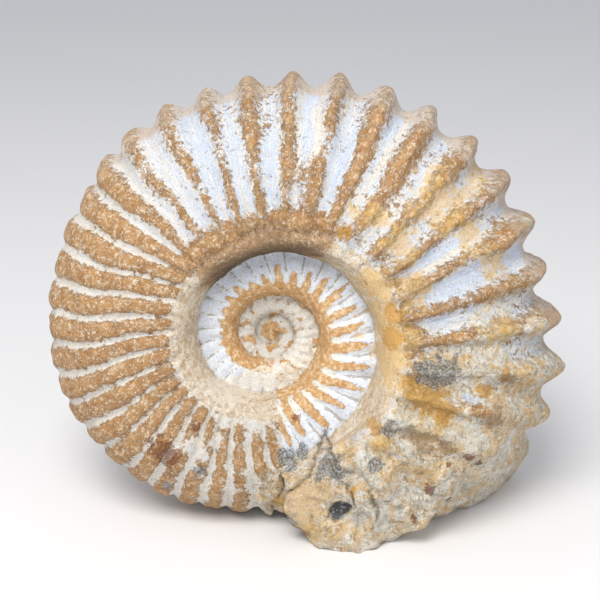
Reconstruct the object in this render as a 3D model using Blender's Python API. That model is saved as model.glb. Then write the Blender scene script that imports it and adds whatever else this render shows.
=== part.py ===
"""A fossil ammonite, coiled and ribbed, standing on the broken end of its last whorl.

Each side of the coil is one strip of skin that starts at the middle and ends at the break.
Each whorl's inner edge lies on the flank of the whorl before it. The strip's inner edge
and that flank share their points, so the skin closes with no hidden faces inside.

The coil is worked out in its own frame: u runs to the right, h up the disc, and w out of
the disc towards the side that shows. turn counts whorls back from the broken end.
"""

import math

import bmesh
import bpy
import numpy as np
from mathutils import Vector, noise

# Size of the coil, in metres
END_ANGLE = math.radians(-83.0)   # direction of the broken end, anticlockwise from +u
MEASURED_TURN = 0.2306       # level with the centre on the right, where two radii are known
RIM_RADIUS = 0.08345         # centre to a groove of the rim there
RIM_GROWTH = 0.250           # natural log of the rim's growth in a turn, at the break
RIM_GROWTH_CHANGE = 0.205    # how much faster it tightens over the first turn
RIM_SWELLS = (               # places where the rim leaves its spiral: (turn, length, share)
    (0.205, 0.030, 0.022),
    (0.266, 0.030, -0.020),
    (0.510, 0.110, 0.012),
    (0.600, 0.060, 0.012),
    (0.770, 0.060, 0.016),
)
SEAM_RADIUS = 0.0313         # centre to the seam between two whorls there
SEAM_GROWTH = 0.75           # natural log of the seam's growth in a turn
WIDTH_SHARE = 0.40           # half the whorl's thickness, as a share of the rim's radius
TURNS = 3.2                  # whorls that show, from the break to the middle
MIDDLE_DOME = 0.0006         # height of the first chamber above the whorl round it
MIDDLE_SMOOTH = 0.020        # weathering fades out inside this radius
SQUASH = 0.0211              # the rock has stretched the coil by this share
SQUASH_ANGLE = math.radians(30.8)   # in this direction, and pressed it across that

# Cross-section of a whorl
SHOULDER_AT = 0.145          # thickest place, as a share of the way from seam to rim
SHOULDER_SHIFTS = (          # places where it lies further in or out: (turn, length, share)
    (0.47, 0.15, -0.050),
    (0.76, 0.13, 0.030),
)
SECTION_POWER = 2.25         # 2 is an ellipse, more is squarer
WALL_FILL = 1.25             # 1 is a steep wall beside the seam, 2 a wall filled to a slope
SEAM_SINKS = (0.05, 0.95)    # least and most of the flank that the next whorl covers

# Ribs. Angles are in degrees along the coil, back from the break
FIRST_RIB = 1.5
RIB_STEPS = ((169.0, 10.49), (217.0, 9.68), (374.0, 8.45), (math.inf, 13.1))   # until, step
SHARP_RIB, BROAD_RIB = 2.2, 3.0   # powers that narrow a crest or a groove
HORN = 1.35                  # the crests are broader where they stand out as horns
HORN_FROM = (0.74, 0.96)     # shares of the way from seam to rim
BROADENS = (0.50, 0.64)      # turns between which sharp ribs become broad ones
RIM_RELIEF = 0.0080          # how far a rib stands out of the rim at the break
RIM_RELIEF_LATER = 0.0037    # and on the last of the tall ribs
RIM_RELIEF_END = 0.0013      # and on the low broad ribs after them
TALL_UNTIL = 0.60            # turn where the tall ribs give way to the low ones
FLANK_RELIEF = 0.0034        # and how far it stands out of the flank
FLANK_RELIEF_LATER = 0.55    # share of that left on the low ribs
FLANK_TO_RIM = (0.62, 0.93)  # part of a whorl where the flank's relief becomes the rim's
RIB_START = (0.08, 0.20)     # part of a whorl where ribs rise out of the wall
WORN_AT_END = 0.35           # share of the relief left on the weathered end
WORN_TURNS = (0.09, 0.19)    # turns between which the ribs come back
RIB_BEND, RIB_BEND_LATER = 1.6, 8.3   # degrees its inner end lies nearer the break
BEND_FROM = 0.24             # part of a whorl where that bend is measured

# The broken end: faces knocked off it, as (outward direction u, h, w; distance from centre)
BREAKS = (
    ((0.56, -0.72, 0.41), 0.0755),
    ((0.66, -0.36, 0.66), 0.0725),
    ((-0.66, -0.30, 0.69), 0.0285),
    ((-0.62, -0.78, 0.10), 0.0420),
)
LAST_PART = 0.30             # length of whorl that the breaks can reach, in turns
UNDERSIDE = 0.0578           # centre to the underside it was broken to
BREAK_SOFTNESS = 0.0012      # how round the edge of a break is
END_SKEW = 0.055             # how much further back the rim broke than the flanks, in turns
END_TAPER_TURN = 0.130       # length of whorl that slopes away to the end, in turns
END_TAPER = 0.80             # thickness left at the very end, as a share
END_BULGE = 0.0140           # how far the rock of the end swells past its edge
SKEW_TURN = 0.25             # length of whorl over which the skewed break straightens
SKEW_PART = (0.52, 0.90)     # part of a whorl between flank and rim where it sets in
BACK_LUMP = (0.062, -0.041, -0.022)   # rock left on the far side of the rim there
BACK_LUMP_SIZE = 0.017
BACK_LUMP_OUT = (0.0190, -0.0060, -0.0020)
LUMP_SIZE = 0.0009           # weathering of the whole surface
LUMP_LENGTH = 0.011
END_ROUGHNESS = 0.0034       # rock of the broken end
END_LUMP_LENGTH = 0.0095
FINE_LUMPS, FINE_LUMP_SCALE = 0.35, 2.3   # smaller lumps on it: their size and how close
ROUGH_TURNS = (0.05, 0.19)   # turns between which the rough rock gives way to shell
ROUGH_START = 0.006          # distance from the seam where it is fully rough
NOISE_SEED = 3               # which lumps, of all that could be
NOISE_START = Vector((7.0, 3.0, 1.0))

# How it stands
LEAN = math.radians(12.0)    # the disc leans back by this
FOOT_DEPTH = 0.0011          # height of coil worn flat where it stands

# Mesh
ROWS_PER_TURN = 288
WALL_COLUMNS, FLANK_COLUMNS, RIM_COLUMNS = 4, 8, 10
CAP_ROWS = 8
EVEN_STEP = 0.0008           # size of the even mesh that the weathering moves
TRIANGLES = 9600             # left on the finished solid

STONE_COLOUR = (0.62, 0.47, 0.30, 1.0)


def smooth_step(low, high, value):
    """0 below low, 1 above high and a smooth rise between them."""
    share = np.clip((value - low) / (high - low), 0.0, 1.0)
    return share * share * (3.0 - 2.0 * share)


def rim_radius(turn):
    """Radius of the rim, in a groove between two ribs."""
    def grown(place):
        inside = np.minimum(place, 1.0)
        further = (place - inside) * (RIM_GROWTH + 2.0 * RIM_GROWTH_CHANGE)
        return RIM_GROWTH * inside + RIM_GROWTH_CHANGE * inside**2 + further

    swell = sum(share * np.exp(-(((turn - at) / size) ** 2)) for at, size, share in RIM_SWELLS)
    return RIM_RADIUS * np.exp(grown(MEASURED_TURN) - grown(turn)) * (1.0 + swell)


def seam_radius(turn):
    return SEAM_RADIUS * np.exp(SEAM_GROWTH * (MEASURED_TURN - turn))


def half_width(turn):
    """Half the whorl's thickness, which shrinks where the end is broken to a slope."""
    whole = WIDTH_SHARE * rim_radius(turn)
    return whole * (END_TAPER + (1.0 - END_TAPER) * smooth_step(0.0, END_TAPER_TURN, turn))


def rib_angles():
    """Where each rib crosses the rim, in degrees back from the break."""
    found, angle = [FIRST_RIB - RIB_STEPS[0][1]], FIRST_RIB
    while angle < 360.0 * (TURNS + 1.0):
        found.append(angle)
        angle += next(step for until, step in RIB_STEPS if angle < until)
    return np.array(found)


RIB_ANGLES = rib_angles()


def crest(turn, along):
    """How much of a rib is here, 1 on its crest and 0 in a groove. along is 0 at the seam
    and 1 at the middle of the rim."""
    degrees = 360.0 * turn
    broad = smooth_step(*BROADENS, turn)
    swing = RIB_BEND + (RIB_BEND_LATER - RIB_BEND) * broad
    inward = (1.0 - along) / (1.0 - BEND_FROM)
    bent = degrees + swing * inward * inward
    number = np.interp(bent, RIB_ANGLES, np.arange(len(RIB_ANGLES)))
    wave = 0.5 + 0.5 * np.cos(2.0 * math.pi * number)
    sharp = wave ** (SHARP_RIB + (HORN - SHARP_RIB) * smooth_step(*HORN_FROM, along))
    return (1.0 - broad) * sharp + broad * (1.0 - (1.0 - wave) ** BROAD_RIB)


def relief(turn, along):
    """Height of a rib's crest above the groove beside it."""
    scale = rim_radius(turn) / RIM_RADIUS
    tall = 1.0 - smooth_step(TALL_UNTIL - 0.02, TALL_UNTIL + 0.04, turn)
    lost = (RIM_RELIEF - RIM_RELIEF_LATER) * np.minimum(turn / TALL_UNTIL, 1.0)
    at_rim = RIM_RELIEF_END + (RIM_RELIEF - lost - RIM_RELIEF_END) * tall
    faded = 1.0 - np.minimum(turn / TALL_UNTIL, 1.0)
    at_rim = at_rim * np.where(turn > 1.0, scale, 1.0)
    left = FLANK_RELIEF_LATER + (1.0 - FLANK_RELIEF_LATER) * faded
    on_flank = FLANK_RELIEF * np.minimum(1.0, scale) * left
    near_rim = smooth_step(*FLANK_TO_RIM, along)
    off_wall = smooth_step(*RIB_START, along)
    worn = WORN_AT_END + (1.0 - WORN_AT_END) * smooth_step(*WORN_TURNS, turn)
    return off_wall * worn * (on_flank * (1.0 - near_rim) + at_rim * near_rim)


def shoulder_at(turn):
    shifts = (size * np.exp(-(((turn - at) / length) ** 2)) for at, length, size in SHOULDER_SHIFTS)
    return SHOULDER_AT + sum(shifts)


def section(turn):
    """Half a whorl's outline at each turn given, from its seam to the middle of the rim.
    Returns along (0 to 1) and thick (0 to 1), each as rows of columns."""
    inner, shoulder = seam_radius(turn), shoulder_at(turn)
    covered = (seam_radius(turn - 1.0) - inner) / (rim_radius(turn) - inner)
    reach = np.clip((covered - shoulder) / (1.0 - shoulder), *SEAM_SINKS)
    shoulder = shoulder[:, None]
    cover_angle = np.arcsin(reach ** (SECTION_POWER / 2.0))[:, None]
    wall = np.linspace(0.5 * math.pi, 0.0, WALL_COLUMNS + 1)[None, :-1]
    flank = cover_angle * np.linspace(0.0, 1.0, FLANK_COLUMNS + 1)[None, :-1]
    rim = cover_angle + (0.5 * math.pi - cover_angle) * np.linspace(
        0.0, 1.0, RIM_COLUMNS + 1
    )
    wall = np.repeat(wall, len(turn), axis=0)
    swept = np.hstack([flank, rim])
    power = 2.0 / SECTION_POWER
    along = np.hstack(
        [
            shoulder * (1.0 - np.sin(wall)),
            shoulder + (1.0 - shoulder) * np.sin(swept) ** power,
        ]
    )
    thick = np.hstack([np.cos(wall) ** WALL_FILL, np.abs(np.cos(swept)) ** power])
    thick[:, -1] = 0.0
    return along, thick


def coil_points(side):
    """Points of one side of the whole coil, as rows along it and columns across a whorl.
    side is 1 for the side that shows and -1 for the other."""
    rows = int(round(TURNS * ROWS_PER_TURN)) + 1
    turn = np.arange(rows)[:, None] / ROWS_PER_TURN
    along, thick = section(turn[:, 0])
    flank_column = WALL_COLUMNS + FLANK_COLUMNS
    floor = half_width(turn + 1.0) * thick[:, flank_column, None]
    near_break = 1.0 - smooth_step(0.0, SKEW_TURN, turn)
    near_break = near_break + smooth_step(1.0 - SKEW_TURN, 1.0, turn)
    turn = turn + END_SKEW * smooth_step(*SKEW_PART, along) * near_break
    inner, rim, half = seam_radius(turn), rim_radius(turn), half_width(turn)
    wall = np.arange(along.shape[1])[None, :] < WALL_COLUMNS
    radius = inner + (rim - inner) * along
    width = np.where(wall, floor + (half - floor) * thick, half * thick)

    step_radius = np.gradient(radius, axis=1)
    step_width = np.gradient(width, axis=1)
    length = np.hypot(step_radius, step_width)
    out_radius, out_width = -step_width / length, step_radius / length
    out_width[:, -1] = 0.0
    out_radius[:, -1] = 1.0
    rise = relief(turn, along) * crest(turn, along)
    radius = radius + out_radius * rise
    width = width + out_width * rise

    angle = END_ANGLE + 2.0 * math.pi * turn
    return np.stack([radius * np.cos(angle), radius * np.sin(angle), side * width], -1)


def between(first, second, share):
    """A smooth run of points between two ends, evenly spaced, as many as share says."""
    place = np.linspace(0.0, len(first) - 1.0, share)
    low = np.floor(place).astype(int)
    high = np.minimum(low + 1, len(first) - 1)
    part = (place - low)[:, None]
    return first[low] * (1.0 - part) + first[high] * part


class Skin:
    """Collects points and faces, so that pieces of skin can share their points."""

    def __init__(self):
        self.points, self.faces, self.last_part = [], [], []

    def add(self, point, last_part=0.0):
        """last_part is 1 on the whorl that ends at the break and 0 on the older ones."""
        self.points.append(tuple(point))
        self.last_part.append(last_part)
        return len(self.points) - 1

    def face(self, corners, flip=False):
        corners = list(dict.fromkeys(corners))
        if len(corners) > 2:
            self.faces.append(tuple(reversed(corners)) if flip else tuple(corners))

    def zip_rows(self, first, second):
        """Triangles between two rows of points that may differ in number."""
        a = b = 0
        while a < len(first) - 1 or b < len(second) - 1:
            ahead_a = (a + 1) / max(len(first) - 1, 1)
            ahead_b = (b + 1) / max(len(second) - 1, 1)
            if b == len(second) - 1 or (a < len(first) - 1 and ahead_a <= ahead_b):
                self.face((first[a], first[a + 1], second[b]))
                a += 1
            else:
                self.face((first[a], second[b + 1], second[b]))
                b += 1


def coil_skin(skin):
    """Both sides of the coil as one skin. Returns the point numbers of each side."""
    sides = {side: coil_points(side) for side in (1, -1)}
    rows, columns = sides[1].shape[:2]
    turn_rows, cover = ROWS_PER_TURN, WALL_COLUMNS + FLANK_COLUMNS
    number = {side: np.full((rows, columns), -1) for side in (1, -1)}
    for side in (1, -1):
        for row in reversed(range(rows)):
            last = columns if row <= turn_rows else cover + 1
            for column in range(last):
                if column == 0 and row + turn_rows < rows:
                    number[side][row, 0] = number[side][row + turn_rows, cover]
                elif column == columns - 1 and side == -1:
                    number[side][row, column] = number[1][row, column]
                else:
                    off_seam = float(smooth_step(0.0, WALL_COLUMNS, column))
                    last_part = off_seam if row < LAST_PART * ROWS_PER_TURN else 0.0
                    number[side][row, column] = skin.add(sides[side][row, column], last_part)
        for row in range(rows - 1):
            last = columns - 1 if row < turn_rows else cover
            for column in range(last):
                ids = number[side]
                corners = (
                    ids[row, column],
                    ids[row, column + 1],
                    ids[row + 1, column + 1],
                    ids[row + 1, column],
                )
                skin.face(corners, flip=side == -1)
    return number


def close_middle(skin, number):
    """The first tiny chamber in the middle of each side, as a low dome."""
    cover = WALL_COLUMNS + FLANK_COLUMNS
    for side in (1, -1):
        ids = number[side]
        rows = len(ids)
        loop = [ids[row, 0] for row in range(rows - 1 - ROWS_PER_TURN, rows)]
        loop += [ids[rows - 1, column] for column in range(1, cover)]
        middle = np.mean([skin.points[i] for i in loop], axis=0)
        top = skin.add(middle + np.array([0.0, 0.0, side * MIDDLE_DOME]))
        for first, second in zip(loop, loop[1:] + loop[:1]):
            skin.face((first, second, top), flip=side == -1)


def close_end(skin, number):
    """The rock face of the broken end, between the last whorl and the one it rests on."""
    front, back = number[1], number[-1]
    columns, cover = front.shape[1], WALL_COLUMNS + FLANK_COLUMNS
    start = ROWS_PER_TURN
    outer = [front[0, c] for c in range(columns)]
    outer += [back[0, c] for c in reversed(range(columns - 1))]
    inner = [front[start, c] for c in range(cover, columns)]
    inner += [back[start, c] for c in reversed(range(cover, columns - 1))]
    forward = np.array([math.sin(END_ANGLE), -math.cos(END_ANGLE), 0.0])
    outer_points = np.array([skin.points[i] for i in outer])
    inner_points = np.array([skin.points[i] for i in inner])
    rows = [inner]
    for row in range(1, CAP_ROWS):
        share = row / CAP_ROWS
        count = int(round(len(inner) + (len(outer) - len(inner)) * share))
        line = between(inner_points, inner_points, count) * (1.0 - share)
        line = line + between(outer_points, outer_points, count) * share
        ends = np.sin(math.pi * np.linspace(0.0, 1.0, count))
        bulge = END_BULGE * share**2 * math.sqrt(1.0 - share) * np.sqrt(ends)
        line = line + forward * bulge[:, None]
        off_seam = share * np.minimum(1.0, 2.0 * ends)
        added = [skin.add(p, off) for p, off in zip(line[1:-1], off_seam[1:-1])]
        ids = [inner[0]] + added + [inner[-1]]
        rows.append(ids)
    rows.append(outer)
    for first, second in zip(rows, rows[1:]):
        skin.zip_rows(first, second)


def squash(points, amount):
    """Stretches the disc by a share one way and presses it the other."""
    u, h, w = points.T
    cos, sin = math.cos(SQUASH_ANGLE), math.sin(SQUASH_ANGLE)
    with_it = (u * cos + h * sin) * (1.0 + amount)
    across = (h * cos - u * sin) * (1.0 - amount)
    return np.stack([with_it * cos - across * sin, with_it * sin + across * cos, w], -1)


def knock_off(points, last_part):
    """Presses what the last whorl has outside each break back on to its face."""
    down = (0.0, -math.cos(LEAN), -math.sin(LEAN))
    for direction, distance in BREAKS + ((down, UNDERSIDE),):
        normal = np.array(direction) / np.linalg.norm(direction)
        outside = points @ normal - distance
        nearest = np.logaddexp(0.0, outside / BREAK_SOFTNESS) * BREAK_SOFTNESS
        points = points - normal * (nearest * last_part)[:, None]
    return points


def add_back_lump(points):
    away = np.linalg.norm(points - BACK_LUMP, axis=1) / BACK_LUMP_SIZE
    return points + np.exp(-(away**2))[:, None] * BACK_LUMP_OUT


def roughness(points):
    """How broken the rock is at each point: 1 at the broken end, fading along the coil."""
    u, h, _ = squash(points, -SQUASH).T
    turn = ((np.arctan2(h, u) - END_ANGLE) / (2.0 * math.pi) + 0.5) % 1.0 - 0.5
    past_end = 1.0 - smooth_step(0.0, END_SKEW, -turn)
    along_coil = past_end * (1.0 - smooth_step(*ROUGH_TURNS, turn))
    outside_seam = np.hypot(u, h) - seam_radius(np.maximum(turn, 0.0))
    return along_coil * smooth_step(0.0, ROUGH_START, outside_seam)


def weather(points):
    """Lumps and hollows all over, rougher on the rock of the broken end."""
    noise.seed_set(NOISE_SEED)
    moved = []
    for point, rough in zip(points, roughness(points)):
        place = Vector(point)
        fade = min(math.hypot(point[0], point[1]) / MIDDLE_SMOOTH, 1.0)
        lumps = noise.noise_vector(place / LUMP_LENGTH) * (LUMP_SIZE * fade)
        if rough > 0.0:
            near = place / END_LUMP_LENGTH + NOISE_START
            blocks = noise.noise_vector(near)
            blocks = blocks + noise.noise_vector(near * FINE_LUMP_SCALE) * FINE_LUMPS
            lumps = lumps + blocks * (END_ROUGHNESS * rough)
        moved.append(place + lumps)
    return np.array(moved)


def stand_up(points):
    """Turns the disc upright with its lean, with the older whorls a little below ground."""
    u, h, w = points.T
    x = u
    y = h * math.sin(LEAN) - w * math.cos(LEAN)
    z = h * math.cos(LEAN) + w * math.sin(LEAN)
    older = u < 0.0
    return np.stack([x, y, z - z[older].min() - FOOT_DEPTH], -1)


def stone_material():
    material = bpy.data.materials.new("weathered_limestone")
    material.use_nodes = True
    shader = material.node_tree.nodes["Principled BSDF"]
    shader.inputs["Base Color"].default_value = STONE_COLOUR
    shader.inputs["Roughness"].default_value = 0.85
    shader.inputs["Metallic"].default_value = 0.0
    return material


def modified(mesh, kind, **settings):
    """A copy of the mesh after one modifier."""
    helper = bpy.data.objects.new("helper", mesh)
    bpy.context.scene.collection.objects.link(helper)
    modifier = helper.modifiers.new(kind, kind)
    for name, value in settings.items():
        setattr(modifier, name, value)
    bpy.context.view_layer.update()
    shown = helper.evaluated_get(bpy.context.evaluated_depsgraph_get())
    result = bpy.data.meshes.new_from_object(shown)
    bpy.data.objects.remove(helper)
    return result


def mesh_points(mesh):
    found = np.empty(len(mesh.vertices) * 3)
    mesh.vertices.foreach_get("co", found)
    return found.reshape(-1, 3)


def keep_largest_body(work):
    """Deletes crumbs that the cut or the rough rock left apart from the stone."""
    unseen, largest = set(work.verts), set()
    while unseen:
        body, front = set(), [unseen.pop()]
        while front:
            vert = front.pop()
            body.add(vert)
            found = {edge.other_vert(vert) for edge in vert.link_edges} & unseen
            unseen -= found
            front.extend(found)
        if len(body) > len(largest):
            largest = body
    crumbs = [vert for vert in work.verts if vert not in largest]
    bmesh.ops.delete(work, geom=crumbs, context="VERTS")


def grind_foot(mesh):
    """Cuts the mesh flat where it stands, and centres it on its own footprint."""
    work = bmesh.new()
    work.from_mesh(mesh)
    cut = bmesh.ops.bisect_plane(
        work,
        geom=work.verts[:] + work.edges[:] + work.faces[:],
        plane_co=(0.0, 0.0, 0.0),
        plane_no=(0.0, 0.0, 1.0),
        clear_inner=True,
    )
    edges = [item for item in cut["geom_cut"] if isinstance(item, bmesh.types.BMEdge)]
    bmesh.ops.holes_fill(work, edges=edges, sides=0)
    keep_largest_body(work)
    bmesh.ops.triangulate(work, faces=[face for face in work.faces if len(face.verts) > 4])
    bmesh.ops.recalc_face_normals(work, faces=work.faces[:])
    low = Vector([min(vert.co[i] for vert in work.verts) for i in range(3)])
    high = Vector([max(vert.co[i] for vert in work.verts) for i in range(3)])
    middle = (low + high) / 2.0
    for vert in work.verts:
        vert.co.x -= middle.x
        vert.co.y -= middle.y
    work.to_mesh(mesh)
    work.free()


def make_ammonite():
    skin = Skin()
    number = coil_skin(skin)
    close_middle(skin, number)
    close_end(skin, number)
    points = knock_off(squash(np.array(skin.points), SQUASH), np.array(skin.last_part))
    points = add_back_lump(points)
    mesh = bpy.data.meshes.new("ammonite")
    mesh.from_pydata([tuple(p) for p in points], [], skin.faces)
    even = modified(mesh, "REMESH", mode="VOXEL", voxel_size=EVEN_STEP)
    points = stand_up(weather(mesh_points(even)))
    even.vertices.foreach_set("co", points.ravel())
    even.update()
    even = modified(even, "REMESH", mode="VOXEL", voxel_size=EVEN_STEP)
    share = TRIANGLES / sum(len(face.vertices) - 2 for face in even.polygons)
    reduced = modified(even, "DECIMATE", ratio=share)
    grind_foot(reduced)
    reduced.name = "ammonite_stone"
    reduced.materials.clear()
    reduced.materials.append(stone_material())
    reduced.shade_smooth()
    stone = bpy.data.objects.new("ammonite", reduced)
    bpy.context.scene.collection.objects.link(stone)
    return stone


def main():
    for old in list(bpy.data.objects):
        bpy.data.objects.remove(old)
    make_ammonite()


main()
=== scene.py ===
import math

import bmesh
import bpy
import numpy as np
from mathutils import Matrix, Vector, kdtree, noise


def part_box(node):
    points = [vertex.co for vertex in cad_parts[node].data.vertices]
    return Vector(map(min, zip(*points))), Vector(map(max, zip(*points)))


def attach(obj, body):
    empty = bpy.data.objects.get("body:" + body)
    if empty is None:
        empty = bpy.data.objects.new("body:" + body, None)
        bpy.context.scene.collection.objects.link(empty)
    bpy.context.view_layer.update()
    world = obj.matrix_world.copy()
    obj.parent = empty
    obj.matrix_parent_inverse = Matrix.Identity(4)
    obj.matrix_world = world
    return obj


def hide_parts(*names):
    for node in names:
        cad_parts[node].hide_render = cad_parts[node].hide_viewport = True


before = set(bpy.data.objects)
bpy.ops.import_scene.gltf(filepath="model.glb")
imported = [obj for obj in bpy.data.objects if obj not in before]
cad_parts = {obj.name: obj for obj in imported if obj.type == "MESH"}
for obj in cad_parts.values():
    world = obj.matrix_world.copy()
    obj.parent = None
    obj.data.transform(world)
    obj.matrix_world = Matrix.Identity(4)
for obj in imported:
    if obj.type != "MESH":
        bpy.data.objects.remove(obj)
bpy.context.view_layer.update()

print("frame loaded")

# The coil. u runs right, h up the disc, w out of it towards the side that shows.
# turn counts whorls back from the broken end. Metres, radians unless a name says degrees.
coil = {
    "endAngle": math.radians(-83.0),     # direction of the broken end
    "measuredTurn": 0.2306,              # level with the centre, on the right
    "rimRadius": 0.08345,                # there, in a groove
    "rimGrowth": 0.250,
    "rimGrowthChange": 0.205,
    "rimSwells": (                       # turn, length, share
        (0.205, 0.030, 0.022), (0.266, 0.030, -0.020), (0.510, 0.110, 0.012), (0.600, 0.060, 0.012),
        (0.770, 0.060, 0.016)),
    "seamRadius": 0.0313,
    "seamGrowth": 0.75,
    "widthShare": 0.40,
    "turns": 3.2,
    "middleDome": 0.0006,
    "middleSmooth": 0.020,
    "squash": 0.0211,
    "squashAngle": math.radians(30.8),
    "shoulderAt": 0.145,                 # share of the way from seam to rim
    "shoulderShifts": ((0.47, 0.15, -0.050), (0.76, 0.13, 0.030)),
    "sectionPower": 2.25,
    "wallFill": 1.25,
    "reach": (0.05, 0.95),               # least and most of the flank that the next whorl may leave bare
    "lean": math.radians(12.0),
    "footDepth": 0.0011,
}

ribs = {
    "firstDegrees": 1.5,
    "steps": ((169.0, 10.49), (217.0, 9.68), (374.0, 8.45), (math.inf, 13.1)),   # until, step
    "sharp": 2.2, "broad": 3.0,          # powers that narrow a crest or a groove
    "horn": 1.35, "hornFrom": (0.74, 0.96),   # crests are broader at the rim
    "broadens": (0.50, 0.64),            # turns
    "rimRelief": 0.0080, "rimReliefLater": 0.0037, "rimReliefEnd": 0.0013,
    "tallUntil": 0.60, "tallFades": (0.58, 0.64),
    "flankRelief": 0.0034, "flankLater": 0.55,
    "flankToRim": (0.62, 0.93),
    "start": (0.08, 0.20),
    "bend": 1.6, "bendLater": 8.3,       # degrees
    "bendFrom": 0.24,
    "wornAtEnd": 0.35, "wornTurns": (0.09, 0.19),
}

brokenEnd = {
    "breaks": (                          # outward direction u, h, w and distance from the centre
        ((0.56, -0.72, 0.41), 0.0755), ((0.66, -0.36, 0.66), 0.0725),
        ((-0.66, -0.30, 0.69), 0.0285), ((-0.62, -0.78, 0.10), 0.0420)),
    "lastPart": 0.30,
    "underside": 0.0578,
    "softness": 0.0012,
    "skew": 0.055, "skewTurn": 0.25, "skewPart": (0.52, 0.90),
    "taperTurn": 0.130, "taper": 0.80,
    "bulge": 0.0140,
    "roughness": 0.0034, "lumpLength": 0.0095,
    "fineLumps": 0.35, "fineLumpScale": 2.3,
    "roughTurns": (0.05, 0.19), "roughStart": 0.006,
    "noiseStart": Vector((7.0, 3.0, 1.0)), "noiseSeed": 3,
    "backLump": (0.062, -0.041, -0.022), "backLumpSize": 0.017, "backLumpOut": (0.0190, -0.0060, -0.0020),
}

mesh = {
    "rowsPerTurn": 720,
    "wallColumns": 6, "flankColumns": 14, "rimColumns": 18,
    "capRows": 14,
    "step": 0.00058,                     # size of the even mesh
    "triangles": 188000,
}

weathering = {
    "lumpSize": 0.0009, "lumpLength": 0.011,     # the same lumps as the solid's
    "knobSize": 0.00030, "knobLength": 0.0034, "knobInGroove": 0.3,     # on the ribs' crests
    "chalkSize": 0.00012, "chalkLength": 0.0016,
    "innerRibs": 0.00040, "innerRibTurns": (2.0, 2.08, 2.9, 3.1),       # on the innermost whorls
    "rockSize": 0.0014, "rockLength": 0.0042, "rockSunk": 0.25,         # on the broken end
    "grainSize": 0.00060, "grainLength": 0.0017, "grainSunk": 0.45, "facetSmooth": 0.8,
}


def smoothStep(low, high, value):
    share = np.clip((value - low) / (high - low), 0.0, 1.0)
    return share * share * (3.0 - 2.0 * share)


def rimRadius(turn):
    def grown(place):
        inside = np.minimum(place, 1.0)
        further = (place - inside) * (coil["rimGrowth"] + 2.0 * coil["rimGrowthChange"])
        return coil["rimGrowth"] * inside + coil["rimGrowthChange"] * inside**2 + further

    swell = sum(share * np.exp(-(((turn - at) / size) ** 2)) for at, size, share in coil["rimSwells"])
    return coil["rimRadius"] * np.exp(grown(coil["measuredTurn"]) - grown(turn)) * (1.0 + swell)


def seamRadius(turn):
    return coil["seamRadius"] * np.exp(coil["seamGrowth"] * (coil["measuredTurn"] - turn))


def halfWidth(turn):
    left = brokenEnd["taper"] + (1.0 - brokenEnd["taper"]) * smoothStep(0.0, brokenEnd["taperTurn"], turn)
    return coil["widthShare"] * rimRadius(turn) * left


def findRibs():
    found, angle = [ribs["firstDegrees"] - ribs["steps"][0][1]], ribs["firstDegrees"]
    while angle < 360.0 * (coil["turns"] + 1.0):
        found.append(angle)
        angle += next(step for until, step in ribs["steps"] if angle < until)
    return np.array(found)


ribAngles = findRibs()


def ribNumber(turn, along):     # counts ribs back from the break, whole on a crest
    broad = smoothStep(*ribs["broadens"], turn)
    swing = ribs["bend"] + (ribs["bendLater"] - ribs["bend"]) * broad
    inward = (1.0 - along) / (1.0 - ribs["bendFrom"])
    bent = 360.0 * turn + swing * inward * inward
    return np.interp(bent, ribAngles, np.arange(len(ribAngles)))


def ribCrest(turn, along):      # 1 on a crest, 0 in a groove
    wave = 0.5 + 0.5 * np.cos(2.0 * math.pi * ribNumber(turn, along))
    broad = smoothStep(*ribs["broadens"], turn)
    sharp = wave ** (ribs["sharp"] + (ribs["horn"] - ribs["sharp"]) * smoothStep(*ribs["hornFrom"], along))
    return (1.0 - broad) * sharp + broad * (1.0 - (1.0 - wave) ** ribs["broad"])


def ribRelief(turn, along):
    scale = rimRadius(turn) / coil["rimRadius"]
    tall = 1.0 - smoothStep(*ribs["tallFades"], turn)
    along01 = np.minimum(turn / ribs["tallUntil"], 1.0)
    strong = ribs["rimRelief"] - (ribs["rimRelief"] - ribs["rimReliefLater"]) * along01
    atRim = ribs["rimReliefEnd"] + (strong - ribs["rimReliefEnd"]) * tall
    atRim = atRim * np.where(turn > 1.0, scale, 1.0)
    left = ribs["flankLater"] + (1.0 - ribs["flankLater"]) * (1.0 - along01)
    onFlank = ribs["flankRelief"] * np.minimum(1.0, scale) * left
    nearRim = smoothStep(*ribs["flankToRim"], along)
    worn = ribs["wornAtEnd"] + (1.0 - ribs["wornAtEnd"]) * smoothStep(*ribs["wornTurns"], turn)
    return smoothStep(*ribs["start"], along) * worn * (onFlank * (1.0 - nearRim) + atRim * nearRim)


def shoulderAt(turn):
    shifts = (size * np.exp(-(((turn - at) / length) ** 2)) for at, length, size in coil["shoulderShifts"])
    return coil["shoulderAt"] + sum(shifts)


def whorlSection(turn):
    inner, shoulder, power = seamRadius(turn), shoulderAt(turn), 2.0 / coil["sectionPower"]
    covered = (seamRadius(turn - 1.0) - inner) / (rimRadius(turn) - inner)
    reach = np.clip((covered - shoulder) / (1.0 - shoulder), *coil["reach"])
    shoulder = shoulder[:, None]
    coverAngle = np.arcsin(reach ** (coil["sectionPower"] / 2.0))[:, None]
    wall = np.linspace(0.5 * math.pi, 0.0, mesh["wallColumns"] + 1)[None, :-1]
    flank = coverAngle * np.linspace(0.0, 1.0, mesh["flankColumns"] + 1)[None, :-1]
    rim = coverAngle + (0.5 * math.pi - coverAngle) * np.linspace(0.0, 1.0, mesh["rimColumns"] + 1)
    wall = np.repeat(wall, len(turn), axis=0)
    swept = np.hstack([flank, rim])
    along = np.hstack([shoulder * (1.0 - np.sin(wall)), shoulder + (1.0 - shoulder) * np.sin(swept) ** power])
    thick = np.hstack([np.cos(wall) ** coil["wallFill"], np.abs(np.cos(swept)) ** power])
    thick[:, -1] = 0.0
    return along, thick


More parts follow.
